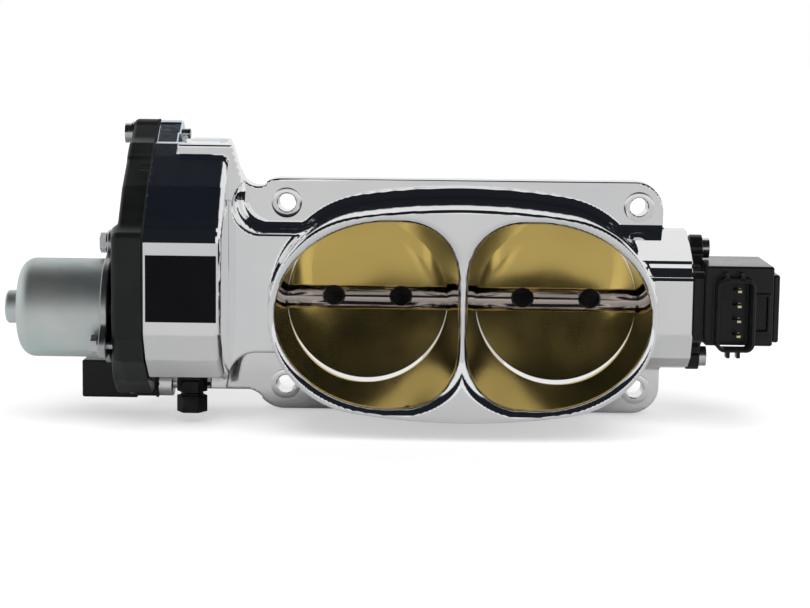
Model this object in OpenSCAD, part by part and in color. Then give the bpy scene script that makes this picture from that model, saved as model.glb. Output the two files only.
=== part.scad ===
// Electronic throttle body with two side-by-side 62 mm bores.
// Frame: X runs along the throttle shaft, +Y is the air flow into the engine, +Z is up.
// The origin is the centre of the rear flange face, midway between the bores. Millimetres.

/* [Bores and plates] */
// Bore radius
bore_r = 31; // [28:0.5:34]
// Bore centre distance from the middle
bore_x = 36.3; // [33:0.1:40]
// Depth of the throttle shaft in front of the flange face
shaft_depth = 20; // [18:0.5:22]
// Throttle shaft radius
shaft_r = 4.7; // [4:0.1:5]
// Throttle plate thickness
plate_t = 2; // [1.5:0.1:2.5]
// Plate angle when fully closed
closed_tilt = 6; // [3:1:10]
// Plate angle with the motor off
rest_tilt = 15; // [12:1:18]
// Plate screw distance from the bore centre
plate_screw_x = 12.9; // [11:0.1:15]

/* [Flange and snout] */
// Flange thickness
flange_t = 12; // [10:0.5:14]
// Half height of the flange
flange_half_h = 45.5; // [44:0.5:47]
// Bolt hole distance from the middle along X
bolt_x = 68.5; // [66:0.25:71]
// Bolt hole distance from the middle along Z
bolt_z = 35.75; // [34:0.25:37]
// Bolt hole radius
bolt_hole_r = 3.5; // [3.2:0.1:3.8]
// Depth of the snout lip in front of the flange face
lip_depth = 75; // [70:0.5:80]
// Half height of the lip in the middle
lip_half_h = 39; // [38.5:0.25:40]
// End radius of the lip outline
lip_end_r = 36.35; // [36:0.05:36.6]
// Centre distance of the lip end radius
lip_end_x = 34.4; // [33:0.1:36]

/* [Gear case and cover] */
// Joint plane of the case and the cover
case_joint_x = -116.2; // [-118:0.1:-114]
// Inner end of the gear case
case_end_x = -88; // [-90:0.5:-86]
// Thickness of the case floor
case_floor = 3; // [2.5:0.1:4]
// Case wall thickness
case_wall = 2.5; // [2:0.1:3]
// Cover gasket thickness
gasket_t = 0.6; // [0.4:0.1:1]
// Outer face of the cover over the gears
cover_x = -126.1; // [-128:0.1:-125]
// Outer face of the cover under the motor
cover_lobe_x = -130.1; // [-132:0.1:-129]
// Motor plate thickness
motor_plate_t = 2.6; // [2:0.1:3]

/* [Motor] */
// Motor axis depth
motor_y = -48; // [-50:0.5:-46]
// Motor axis height
motor_z = -1.8; // [-4:0.1:0]
// Motor can radius
can_r = 18.5; // [18:0.1:19]
// Closed end of the can
can_end_x = -164.8; // [-168:0.1:-163]
// End of the rear bearing boss
can_boss_x = -170.5; // [-173:0.1:-170]

/* [Gears] */
// Module of the motor pinion and large gear
fine_module = 0.8; // [0.7:0.05:0.9]
// Module of the small gear and sector
coarse_module = 1; // [0.9:0.05:1.1]
// Teeth on the motor pinion
pinion_teeth = 12; // [11:1:14]
// Teeth on the large intermediate gear
large_teeth = 48; // [44:1:50]
// Teeth on the small intermediate gear
small_teeth = 15; // [14:1:16]
// Teeth of the full circle of the sector
sector_teeth = 45; // [42:1:48]
// Pressure angle
pressure_angle = 25; // [20:1:25]
// Play between the teeth
backlash = 0.16; // [0.1:0.02:0.3]

/* [Position sensor] */
// End plane of the sensor boss
boss_x = 87; // [85:0.5:89]
// Outer end of the sensor body
sensor_x = 116.4; // [113:0.1:118]
// Sensor screw distance from the shaft axis
sensor_screw_z = 21; // [20:0.5:22]

/* [Hidden] */
$fn = 64;
joint_gap = 0.05;
shaft_y = -shaft_depth;
floor_x = case_end_x - case_floor;
cover_in_x = case_joint_x - gasket_t;
can_x = cover_lobe_x - motor_plate_t;
bearing_r = 7;
left_bearing_x = -86;
right_bearing_x = 72;
bearing_len = 10;
sector_x = [-113.1, -106.1];
small_x = [-114.7, -105.6];
large_x = [-120.1, -114.6];
pinion_x = [-121.1, -113.7];
lever_x = [-105.1, -99.1];
hub_r = 10;
idler_r = 2.5;
first_reach = fine_module * (pinion_teeth + large_teeth) / 2;
second_reach = coarse_module * (small_teeth + sector_teeth) / 2;
// The idler axis lies on both centre distances, above the line from the shaft to the motor.
motor_dy = motor_y - shaft_y;
motor_dist = sqrt(motor_dy * motor_dy + motor_z * motor_z);
along = (second_reach * second_reach - first_reach * first_reach + motor_dist * motor_dist)
      / (2 * motor_dist);
across = sqrt(second_reach * second_reach - along * along);
idler_y = shaft_y + (along * motor_dy + across * motor_z) / motor_dist;
idler_z = (along * motor_z - across * motor_dy) / motor_dist;
// Angle of the idler seen from the shaft, and of the motor seen from the idler.
mesh_shaft = atan2(idler_z, idler_y - shaft_y);
mesh_motor = atan2(motor_z - idler_z, motor_y - idler_y);
sector_start = 120;
sector_count = 13;
sector_pitch = 360 / sector_teeth;
small_phase = phase(sector_start, sector_teeth, small_teeth, mesh_shaft);
pinion_phase = phase(0, large_teeth, pinion_teeth, mesh_motor);
lug_half = 4.6;
lug_outline = [[-43.5, 54.5], [-26.4, 66.2], [-22.5, 67], [-18, 62], [-18, 52], [-40, 48]];
socket_y = -18.2;
stop_x = -102.1;
stop_y = -40;
stop_tip_z = -5.8;
cover_screws_at = [[-22.5, 62.5], [-30, -33], [-6.4, 53.6], [-6.4, -24]];
plate_screws_at = [[-45, 22.4], [-67.6, -13], [-26, -20.5]];
case_outline = [[-0.5, 59.7], [-0.5, -30], [-44, -30], [-55, -25.7], [-65, -17.4], [-72, -7.5],
    [-72, 27.5], [-70, 30.3], [-65.5, 34], [-57, 44.7], [-43, 55.2], [-40, 59.7]];
lobe_outline = [[-73.5, 28], [-73.5, -9], [-66, -19], [-56, -28], [-45, -34.5], [-24, -34.5],
    [-16, -28], [-16, 10], [-26, 24], [-40, 29], [-68, 29]];
boss_outline = [[-3, 26.5], [-20, 26.5], [-34, 18.5], [-42, 17], [-42, -9], [-36, -19],
    [-16, -26.5], [-3, -26.5]];
lip_top_r = (lip_end_x * lip_end_x + lip_half_h * lip_half_h - lip_end_r * lip_end_r)
          / (2 * (lip_half_h - lip_end_r));
lip_join = atan2(lip_top_r - lip_half_h, lip_end_x);

// ---- shape helpers ----
// The 2D shape drawn as (Y, Z) and extruded along X.
module x_prism(x0, x1) {
    translate([x0, 0, 0]) rotate([90, 0, 90]) linear_extrude(x1 - x0) children();
}

// The 2D shape drawn as (X, Z) and extruded along Y.
module y_prism(y0, y1) {
    translate([0, y1, 0]) rotate([90, 0, 0]) linear_extrude(y1 - y0) children();
}

module x_rod(x0, x1, r, y, z) {
    translate([x0, y, z]) rotate([0, 90, 0]) cylinder(h = x1 - x0, r = r);
}

module y_rod(y0, y1, r, x, z) {
    translate([x, y1, z]) rotate([90, 0, 0]) cylinder(h = y1 - y0, r = r);
}

module x_tube(x0, x1, inner, outer, y, z) {
    difference() {
        x_rod(x0, x1, outer, y, z);
        x_rod(x0 - 1, x1 + 1, inner, y, z);
    }
}

module x_hex(x0, x1, flats, y, z) {
    translate([x0, y, z]) rotate([0, 90, 0]) cylinder(h = x1 - x0, r = flats / sqrt(3), $fn = 6);
}

module box(low, high) {
    translate(low) cube(high - low);
}

// Points of an arc from angle a0 to a1 in n steps.
function arc(cx, cz, r, a0, a1, n) =
    [for (i = [0:n]) let (a = a0 + (a1 - a0) * i / n) [cx + r * cos(a), cz + r * sin(a)]];

function mirrored(points) = [for (i = [len(points) - 1:-1:0]) [-points[i][0], points[i][1]]];

// Everything that turns with the throttle shaft is drawn upright and tilted here.
module shaft_frame(tilt) {
    translate([0, shaft_y, 0]) rotate([-tilt, 0, 0]) children();
}

// ---- gear helpers ----
function involute(a) = tan(a) * 180 / PI - a;

function half_tooth(r, m, n) =
    let (pitch_r = m * n / 2, base_r = pitch_r * cos(pressure_angle))
    90 / n - backlash / 4 / pitch_r * 180 / PI + involute(pressure_angle)
    - involute(acos(min(1, base_r / r)));

function tooth(m, n, a) =
    let (pitch_r = m * n / 2, root = pitch_r - 1.1 * m, tip = pitch_r + 0.8 * m,
         base = max(root + 0.05, pitch_r * cos(pressure_angle)),
         radii = [root, base, (base + tip) / 2, tip])
    concat([for (r = radii) let (h = half_tooth(r, m, n)) [r * cos(a - h), r * sin(a - h)]],
           [for (i = [3:-1:0]) let (r = radii[i], h = half_tooth(r, m, n))
               [r * cos(a + h), r * sin(a + h)]]);

function teeth(m, n, first, count) =
    [for (k = [0:count - 1]) each tooth(m, n, first + k * 360 / n)];

// First tooth angle of gear B that meshes with gear A, whose centre line points along mesh.
function phase(first_a, n_a, n_b, mesh) =
    mesh + 180 + 360 / n_b * (0.5 - (first_a - mesh) * n_a / 360);

// ---- housing outlines ----
function lip_quarter() = concat(
    arc(0, lip_half_h - lip_top_r, lip_top_r, lip_join, 90, 8));

function lip_right() = concat(
    arc(0, lip_top_r - lip_half_h, lip_top_r, -90, -lip_join, 8),
    arc(lip_end_x, 0, lip_end_r, -lip_join + 3, lip_join - 3, 30),
    lip_quarter());

function lip_outline() = concat(lip_right(), mirrored(lip_right()));

// One mouth at the front face: flat beside the middle wall, oval on the outer side.
function mouth(grow) = concat(
    [for (i = [0:30]) let (a = -90 + 6 * i) [26 + (42.2 + grow) * cos(a), (34.2 + grow) * sin(a)]],
    arc(21.3, 14.2 + grow, 20, 90, 180, 8),
    arc(21.3, -14.2 - grow, 20, 180, 270, 8));

module flange_shape() {
    edge = flange_half_h;
    polygon(concat(
        arc(67, edge - 11, 11, 90, 0, 8),
        arc(67, -edge + 11, 11, 0, -90, 8),
        arc(-70, -edge + 12, 12, -90, -135, 4),
        [[-86, -37], [-104.1, -37], [-104.1, 59], [-90.5, 59]],
        arc(-82.9, 50.1, 8, 180, 305, 10),
        arc(-72, edge - 11, 11, 125, 90, 4)));
}

module bolt_positions() {
    for (x = [-bolt_x, bolt_x], z = [-bolt_z, bolt_z])
        translate([x, 0, z]) children();
}

module case_shape() {
    polygon(case_outline);
}

module mouth_cut() {
    hull() {
        y_prism(-lip_depth - 0.2, -lip_depth + 1) polygon(mouth(0.4));
        y_prism(-34, -33) translate([bore_x, 0]) circle(r = bore_r + 0.6, $fn = 48);
    }
    hull() {
        y_prism(-lip_depth - 0.2, -lip_depth) polygon(mouth(1.6));
        y_prism(-lip_depth + 3, -lip_depth + 3.2) polygon(mouth(-0.4));
    }
}

module housing_solid() {
    y_prism(-flange_t, 0) flange_shape();
    y_prism(-lip_depth + 1.2, -flange_t + 1) polygon(lip_outline());
    hull() {
        y_prism(-lip_depth + 1.1, -lip_depth + 1.3) polygon(lip_outline());
        y_prism(-lip_depth, -lip_depth + 0.1) offset(delta = -1) polygon(lip_outline());
    }
    y_prism(-42, -flange_t + 1)
        polygon(concat([[-94, 59.3], [-86.8, 59.3]], arc(-76.2, 37, 10.8, 128, 270, 12),
            [[-50, 26.2], [-50, -19], [-74, -19]], arc(-77.5, -29.4, 10.4, 90, 160, 6),
            [[-90, -33], [-94, -33]]));
    x_prism(case_joint_x, case_end_x) case_shape();
    x_rod(case_joint_x, -107.1, 5.6, cover_screws_at[0][0], cover_screws_at[0][1]);
    x_prism(case_joint_x, -107.1) polygon(lug_outline);
    x_rod(case_joint_x, -110.1, 5.2, cover_screws_at[1][0], cover_screws_at[1][1]);
    box([case_joint_x, cover_screws_at[1][0] - lug_half, -33],
        [-110.1, cover_screws_at[1][0] + lug_half, -29]);
    x_prism(50, boss_x) polygon(boss_outline);
}

module case_room() {
    difference() {
        x_prism(case_joint_x - 1, floor_x) offset(delta = -case_wall) case_shape();
        for (i = [2:3])
            x_rod(case_joint_x - 2, floor_x + 1, 3.8, cover_screws_at[i][0], cover_screws_at[i][1]);
        x_rod(-105.3, floor_x + 1, 5, idler_y, idler_z);
        x_rod(floor_x - 0.8, floor_x + 1, bearing_r + 2.5, shaft_y, 0);
        translate([stop_x, stop_y, -29]) cylinder(h = 9, r = 5.2);
    }
}

module throttle_housing() {
    color("silver") difference() {
        housing_solid();
        for (s = [-1, 1]) y_rod(-40, 1, bore_r, s * bore_x, 0);
        mouth_cut();
        mirror([1, 0, 0]) mouth_cut();
        case_room();
        x_rod(floor_x - 2, boss_x + 1, shaft_r + joint_gap, shaft_y, 0);
        x_rod(floor_x - 2, left_bearing_x + bearing_len, bearing_r, shaft_y, 0);
        x_rod(right_bearing_x, boss_x + 1, bearing_r, shaft_y, 0);
        x_rod(-4.5, 4.5, 6, shaft_y, 0);
        bolt_positions() y_rod(-flange_t - 1, 1, bolt_hole_r, 0, 0);
        bolt_positions() y_rod(-flange_t - 1, -flange_t + 0.4, 6, 0, 0);
        for (p = cover_screws_at) x_rod(case_joint_x - 1, -102.6, 2, p[0], p[1]);
        x_rod(-106.1, -94.1, idler_r, idler_y, idler_z);
        translate([stop_x, stop_y, -31]) cylinder(h = 12, r = 3.05);
        for (s = [-1, 1]) x_rod(boss_x - 9, boss_x + 1, 1.8, shaft_y, s * sensor_screw_z);
        x_tube(boss_x - 1, boss_x + 1, 7.95, 9.65, shaft_y, 0);
    }
}

// ---- bearings and seals ----
module shaft_bearings() {
    color("dimgray") for (x = [left_bearing_x, right_bearing_x])
        x_tube(x, x + bearing_len, shaft_r + joint_gap, bearing_r, shaft_y, 0);
}

module shaft_bush() {
    color("peru") x_tube(-4.5, 4.5, shaft_r + joint_gap, 6, shaft_y, 0);
}

module shaft_seals() {
    color([0.12, 0.12, 0.12]) {
        x_tube(left_bearing_x - 4, left_bearing_x, shaft_r + joint_gap, bearing_r, shaft_y, 0);
        x_tube(right_bearing_x + bearing_len, boss_x - 1, shaft_r + joint_gap, bearing_r, shaft_y, 0);
    }
}

// Plain black plate on the flat front of the gear case.
module case_label() {
    color([0.02, 0.02, 0.02]) box([-115.4, -72.3, -3.7], [-89.6, -72, 20.7]);
}

// ---- cover side ----
// The joint face of the case with its two outer screw lugs.
module cover_slab(x0, x1) {
    union() {
        x_prism(x0, x1) case_shape();
        for (i = [0, 1]) x_rod(x0, x1, 5.6, cover_screws_at[i][0], cover_screws_at[i][1]);
        x_prism(x0, x1) polygon(lug_outline);
        box([x0, cover_screws_at[1][0] - lug_half, -33], [x1, cover_screws_at[1][0] + lug_half, -28]);
    }
}

module cover_gasket() {
    color([0.2, 0.2, 0.22]) difference() {
        cover_slab(cover_in_x, case_joint_x);
        difference() {
            x_prism(cover_in_x - 1, case_joint_x + 1) offset(delta = -case_wall) case_shape();
            for (i = [2:3])
                x_rod(cover_in_x - 2, case_joint_x + 2, 3.8, cover_screws_at[i][0],
                      cover_screws_at[i][1]);
        }
        for (p = cover_screws_at) x_rod(cover_in_x - 1, case_joint_x + 1, 2, p[0], p[1]);
    }
}

module motor_socket() {
    difference() {
        union() {
            box([-146.8, socket_y - 6.4, -40], [-125.1, socket_y + 6.4, -25.4]);
            for (z = [-35.6, -31.6])
                box([-148, socket_y - 4, z], [-146.1, socket_y + 4, z + 1.6]);
        }
        box([-149.1, socket_y - 4.6, -38], [-131.6, socket_y + 4.6, -27.4]);
    }
}

module gear_cover() {
    color([0.09, 0.09, 0.1]) difference() {
        union() {
            cover_slab(cover_x, cover_in_x);
            x_prism(cover_lobe_x, cover_in_x) polygon(lobe_outline);
            motor_socket();
        }
        difference() {
            x_prism(cover_x + case_wall, cover_in_x + 1) offset(delta = -case_wall) case_shape();
            for (i = [2:3])
                x_rod(cover_x, cover_in_x + 2, 3.8, cover_screws_at[i][0], cover_screws_at[i][1]);
            x_rod(cover_x, large_x[0] - 0.6, 5, idler_y, idler_z);
        }
        for (p = cover_screws_at) x_rod(cover_x - 1, cover_in_x + 1, 2, p[0], p[1]);
        x_rod(cover_lobe_x - 1, cover_x, 5, cover_screws_at[1][0], cover_screws_at[1][1]);
        x_rod(cover_x + 1.5, cover_in_x, idler_r, idler_y, idler_z);
        x_rod(cover_lobe_x - 1, cover_in_x + 1, 6.5, motor_y, motor_z);
        x_rod(cover_lobe_x - 1, cover_lobe_x + 1.6, 8, motor_y, motor_z);
        for (p = plate_screws_at) x_rod(cover_lobe_x - 1, cover_lobe_x + 5, 1.5, p[0], p[1]);
        for (y = [-2.2, 2.2])
            box([-132.1, socket_y + y - 1.2, -32.9], [-126.6, socket_y + y + 1.2, -32.1]);
    }
}

module motor_terminals() {
    color("gold") for (y = [-2.2, 2.2])
        box([-142.1, socket_y + y - 1.2, -32.9], [-126.6, socket_y + y + 1.2, -32.1]);
}

module cover_screws() {
    color("silver") for (i = [0:3]) {
        y = cover_screws_at[i][0];
        z = cover_screws_at[i][1];
        x_rod(cover_x - 0.9, cover_x, 4.4, y, z);
        difference() {
            x_rod(cover_x - 3.4, cover_x - 0.9, 3.85, y, z);
            x_hex(cover_x - 4, cover_x - 2, 3.6, y, z);
        }
        x_rod(cover_x, i == 0 ? -104.6 : (i == 1 ? -108.1 : -103.1), 2, y, z);
    }
}

module idler_pin() {
    color("lightgray") x_rod(cover_x + 1.5, -94.1, idler_r, idler_y, idler_z);
}

// ---- motor ----
module motor_plate_shape() {
    translate([motor_y, motor_z]) circle(r = 20.5);
    for (p = plate_screws_at) {
        translate(p) circle(r = 5);
        a = atan2(p[1] - motor_z, p[0] - motor_y);
        translate([motor_y, motor_z]) rotate([0, 0, a]) translate([10, -lug_half])
            square([norm([p[0] - motor_y, p[1] - motor_z]) - 10, 2 * lug_half]);
    }
}

module motor_plate() {
    color([0.75, 0.76, 0.78]) difference() {
        union() {
            x_prism(can_x, cover_lobe_x) motor_plate_shape();
            x_rod(cover_lobe_x - 1, cover_lobe_x + 1.5, 7.9, motor_y, motor_z);
        }
        x_rod(can_x - 1, cover_lobe_x + 3, 3.5, motor_y, motor_z);
        for (p = plate_screws_at) x_rod(can_x - 1, cover_lobe_x + 1, 1.6, p[0], p[1]);
    }
}

module motor_plate_screws() {
    color([0.8, 0.8, 0.82]) for (p = plate_screws_at) {
        difference() {
            union() {
                x_rod(can_x - 0.6, can_x, 4.2, p[0], p[1]);
                x_hex(can_x - 3, can_x - 0.6, 6.6, p[0], p[1]);
            }
            x_rod(can_x - 3.5, can_x - 2.2, 2, p[0], p[1]);
        }
        x_rod(can_x, cover_lobe_x + 5, 1.5, p[0], p[1]);
    }
}

module motor_can() {
    round_r = 6;
    wall = 1;
    rotate_about_motor(can_boss_x) {
        polygon(concat(
            [[0, 0], [5.2, 0]], arc(5.2, 1, 1, -90, 0, 4),
            [[6.2, can_end_x - can_boss_x]],
            arc(can_r - round_r, can_end_x - can_boss_x + round_r, round_r, -90, 0, 8),
            [[can_r, can_x - can_boss_x], [can_r - wall, can_x - can_boss_x]],
            arc(can_r - round_r, can_end_x - can_boss_x + round_r, round_r - wall, 0, -90, 8),
            [[5.2, can_end_x - can_boss_x + wall], [3.5, can_end_x - can_boss_x + wall],
             [3.5, 1.4], [0, 1.4]]));
    }
}

// A profile of (radius, distance) turned about the motor axis, starting at x.
module rotate_about_motor(x) {
    color([0.78, 0.8, 0.8]) translate([x, motor_y, motor_z]) rotate([0, 90, 0])
        rotate_extrude() children();
}

module motor_magnets() {
    color([0.25, 0.25, 0.27]) for (a = [30, 210])
        translate([-158.6, motor_y, motor_z]) rotate([0, 90, 0]) rotate([0, 0, a])
            rotate_extrude(angle = 120) translate([14, 0]) square([3.4, 18]);
}

module motor_brush_holder() {
    color([0.2, 0.16, 0.12]) difference() {
        x_rod(-136.7, can_x, can_r - 1.05, motor_y, motor_z);
        x_rod(-137.1, can_x + 1, 4.9, motor_y, motor_z);
        box([-137.1, motor_y - 12, motor_z - 2], [-133.7, motor_y + 12, motor_z + 2]);
    }
}

module motor_brushes() {
    color([0.15, 0.15, 0.16]) difference() {
        union() {
            box([-136.5, motor_y - 11, motor_z - 2], [-133.7, motor_y - 3, motor_z + 2]);
            box([-136.5, motor_y + 3, motor_z - 2], [-133.7, motor_y + 11, motor_z + 2]);
        }
        x_rod(-138.1, can_x + 1, 4.55, motor_y, motor_z);
    }
}

module motor_bearings() {
    color("peru") {
        x_tube(can_boss_x + 1.4, can_end_x + 1, 1.55, 3.5, motor_y, motor_z);
        x_tube(can_x + 0.1, can_x + 4, 1.55, 3.5, motor_y, motor_z);
    }
}

module motor_shaft() {
    color("lightgray") x_rod(can_boss_x + 1.8, pinion_x[1], 1.5, motor_y, motor_z);
}

module rotor_core() {
    color([0.45, 0.45, 0.48]) difference() {
        x_rod(-159.6, -141.6, 13.5, motor_y, motor_z);
        x_rod(-161.1, -140.1, 1.5, motor_y, motor_z);
        for (k = [0:4]) translate([0, motor_y, motor_z]) rotate([36 + 72 * k, 0, 0]) {
            box([-161.1, -0.9, 11], [-140.1, 0.9, 15]);
            box([-161.1, -3, 5.5], [-140.1, 3, 11.5]);
        }
    }
}

module rotor_windings() {
    color([0.72, 0.36, 0.16]) {
        for (k = [0:4]) translate([0, motor_y, motor_z]) rotate([36 + 72 * k, 0, 0])
            box([-159.6, -2.9, 5.6], [-141.6, 2.9, 11.4]);
        x_tube(-162.3, -159.6, 3.2, 11.2, motor_y, motor_z);
        x_tube(-141.6, -139.3, 4.8, 11.2, motor_y, motor_z);
    }
}

module commutator() {
    color([0.8, 0.5, 0.25]) difference() {
        x_rod(-138.9, -133.3, 4.5, motor_y, motor_z);
        x_rod(-140.1, -132.1, 1.5, motor_y, motor_z);
        for (k = [0:4]) translate([0, motor_y, motor_z]) rotate([72 * k, 0, 0])
            box([-140.1, -0.25, 3.6], [-132.1, 0.25, 5]);
    }
}

module motor_pinion() {
    color("gold") difference() {
        translate([0, motor_y, motor_z]) x_prism(pinion_x[0], pinion_x[1])
            polygon(teeth(fine_module, pinion_teeth, pinion_phase, pinion_teeth));
        x_rod(pinion_x[0] - 1, pinion_x[1] + 1, 1.5, motor_y, motor_z);
    }
}

module idler_gear() {
    color([0.9, 0.88, 0.8]) difference() {
        translate([0, idler_y, idler_z]) {
            difference() {
                x_prism(large_x[0], large_x[1])
                    polygon(teeth(fine_module, large_teeth, 0, large_teeth));
                for (k = [0:5]) rotate([60 * k, 0, 0]) x_rod(-122.1, -113.1, 2.8, 0, 12.6);
            }
            x_prism(small_x[0], small_x[1])
                polygon(teeth(coarse_module, small_teeth, small_phase, small_teeth));
        }
        x_rod(-123.1, -103.1, idler_r + joint_gap, idler_y, idler_z);
    }
}

// ---- throttle shaft group ----
module throttle_shaft() {
    color("lightgray") shaft_frame(rest_tilt) difference() {
        union() {
            x_rod(-113.1, 98, shaft_r, 0, 0);
            x_rod(-117.5, -112.1, 3.9, 0, 0);
        }
        for (s = [-1, 1]) {
            box([s * bore_x - bore_r - 1, -plate_t / 2, -6], [s * bore_x + bore_r + 1, plate_t / 2, 6]);
            for (d = [-plate_screw_x, plate_screw_x]) {
                y_rod(-6, -3.9, 4.4, s * bore_x + d, 0);
                y_rod(-5, 6, 2, s * bore_x + d, 0);
            }
        }
        box([90, -6, 2.6], [99, 6, 6]);
    }
}

// The plate is cut round by the bore while it is closed, then turned to its rest angle.
module plate(s) {
    color([0.78, 0.62, 0.3]) shaft_frame(rest_tilt - closed_tilt) difference() {
        intersection() {
            y_rod(-12, 12, bore_r - joint_gap, s * bore_x, 0);
            rotate([-closed_tilt, 0, 0]) box([s * bore_x - 40, -plate_t / 2, -40],
                                             [s * bore_x + 40, plate_t / 2, 40]);
        }
        rotate([-closed_tilt, 0, 0]) for (d = [-plate_screw_x, plate_screw_x])
            y_rod(-5, 5, 2, s * bore_x + d, 0);
    }
}

module throttle_plate_left() {
    plate(-1);
}

module throttle_plate_right() {
    plate(1);
}

module plate_screws(s) {
    color([0.1, 0.1, 0.1]) shaft_frame(rest_tilt) for (d = [-plate_screw_x, plate_screw_x]) {
        x = s * bore_x + d;
        y_rod(-3.9, 4.4, 2, x, 0);
        difference() {
            y_rod(-6.3, -3.9, 3.8, x, 0);
            translate([x, -5.2, 0]) rotate([90, 0, 0])
                cylinder(h = 3, r = 2.5 / sqrt(3), $fn = 6);
        }
    }
}

module plate_screws_left() {
    plate_screws(-1);
}

module plate_screws_right() {
    plate_screws(1);
}

module throttle_gear() {
    first = sector_start;
    last = first + (sector_count - 1) * sector_pitch;
    color([0.86, 0.84, 0.76]) difference() {
        translate([0, shaft_y, 0]) {
            x_prism(sector_x[0], sector_x[1]) {
                circle(r = 12);
                polygon(concat(
                    teeth(coarse_module, sector_teeth, first, sector_count),
                    arc(0, 0, 8, last + 2, first - 2, 12)));
            }
            x_rod(sector_x[1] - 1, -92.3, hub_r, 0, 0);
            box([lever_x[0], -23.4, -2], [lever_x[1], -5, 3]);
            x_rod(lever_x[0], lever_x[1], 12.4, 0, 0);
        }
        x_rod(-119.1, -90, shaft_r, shaft_y, 0);
    }
}

module gear_nut() {
    color([0.3, 0.3, 0.32]) difference() {
        x_hex(-116.9, sector_x[0], 10, shaft_y, 0);
        x_rod(-118.1, -112.1, 3.9, shaft_y, 0);
    }
}

module return_spring() {
    coil_in = 10.8;
    coil_out = 12.2;
    wire = 1.1;
    pitch = 1.35;
    start = -97.8;
    color([0.35, 0.36, 0.38]) translate([0, shaft_y, 0]) {
        for (k = [0:3]) x_tube(start + pitch * k, start + pitch * k + wire, coil_in, coil_out, 0, 0);
        for (k = [0:2]) rotate([70 + 120 * k, 0, 0])
            box([start + pitch * k + 0.5, coil_in + 0.1, -0.6],
                [start + pitch * (k + 1) + 0.5, coil_out - 0.1, 0.6]);
        box([start + 3 * pitch, 0, -coil_out + 0.1], [start + 3 * pitch + wire, 16.4, -coil_in - 0.1]);
        box([start, -12, coil_in + 0.1], [start + wire, 0, coil_out - 0.1]);
    }
}

module stop_screw() {
    color([0.08, 0.08, 0.08]) translate([stop_x, stop_y, 0]) {
        translate([0, 0, -36]) cylinder(h = stop_tip_z + 36, r = 3);
        translate([0, 0, -42]) cylinder(h = 6.2, r = 10 / sqrt(3), $fn = 6);
        translate([0, 0, -36.4]) cylinder(h = 1.4, r = 4.3);
    }
}

module stop_locknut() {
    color([0.1, 0.1, 0.1]) translate([stop_x, stop_y, -34.2]) difference() {
        cylinder(h = 4.2, r = 10 / sqrt(3), $fn = 6);
        translate([0, 0, -1]) cylinder(h = 7, r = 3);
    }
}

// ---- position sensor ----
module sensor_flange_shape() {
    translate([shaft_y, 0]) {
        circle(r = 17.5);
        for (s = [-1, 1]) {
            translate([0, s * sensor_screw_z]) circle(r = 5.2);
            translate([-lug_half, min(0, s * sensor_screw_z)]) square([2 * lug_half, sensor_screw_z]);
        }
    }
    translate([-41, -13]) square([25, 27]);
}

module sensor_housing() {
    color([0.09, 0.09, 0.1]) difference() {
        union() {
            x_prism(boss_x, boss_x + 5) sensor_flange_shape();
            box([boss_x + 4, -46, -13.2], [sensor_x, -6, 18]);
            box([94.4, -54, -14.6], [108.5, -45, 12.4]);
            for (x = [97.3, 104.2]) box([x, -53.2, 12], [x + 1.6, -46, 14.6]);
            for (x = [98.4, 102.2]) box([x, -52, -17], [x + 1.4, -47, -14]);
        }
        x_rod(boss_x - 1, 104, 11, shaft_y, 0);
        box([96.2, -55, -12.8], [106.7, -44, 10.6]);
        box([105, -42, -11], [sensor_x + 1, -8.5, 15.8]);
        box([109.8, -48, -6], [114, -44.5, 5]);
        for (s = [-1, 1]) x_rod(boss_x - 1, boss_x + 6, 1.8, shaft_y, s * sensor_screw_z);
        for (s = [-1, 1]) x_rod(boss_x + 5, boss_x + 8.2, 4.2, shaft_y, s * sensor_screw_z);
        for (z = sensor_pin_z) {
            box([101.3, -44.5, z - 0.45], [104.3, -40.5, z + 0.45]);
            box([103.8, -42.1, z - 0.45], [105.5, -40.5, z + 0.45]);
        }
    }
}

sensor_pin_z = [8, 2.4, -3.2, -8.8];

module sensor_terminals() {
    color("gold") for (z = sensor_pin_z) {
        box([102.1, -52, z - 0.4], [103.5, -41, z + 0.4]);
        box([102.1, -42, z - 0.4], [106.95, -40.6, z + 0.4]);
    }
}

module sensor_board() {
    color([0.1, 0.35, 0.16]) box([107, -41.5, -10.6], [108.6, -9, 15.4]);
}

module sensor_back_cover() {
    color([0.11, 0.11, 0.12]) {
        box([sensor_x, -44, -12], [sensor_x + 2.5, -7.5, 13.5]);
        box([sensor_x - 1.4, -41.9, -10.9], [sensor_x, -8.6, 12]);
    }
}

module sensor_gasket() {
    color([0.15, 0.15, 0.15]) x_tube(boss_x - 1, boss_x, 8, 9.6, shaft_y, 0);
}

module sensor_screws() {
    color([0.7, 0.7, 0.72]) for (s = [-1, 1]) {
        z = s * sensor_screw_z;
        x_rod(boss_x - 9, boss_x + 5, 1.8, shaft_y, z);
        difference() {
            x_rod(boss_x + 5, boss_x + 7.8, 3.85, shaft_y, z);
            x_hex(boss_x + 6.4, boss_x + 9, 3.2, shaft_y, z);
        }
    }
}

module sensor_rotor() {
    color([0.85, 0.83, 0.75]) shaft_frame(rest_tilt) difference() {
        x_rod(90, 101, 9, 0, 0);
        intersection() {
            x_rod(89, 98, shaft_r, 0, 0);
            box([88, -6, -6], [98.5, 6, 2.6]);
        }
        x_rod(87, 90.01, shaft_r + 0.2, 0, 0);
    }
}

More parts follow.
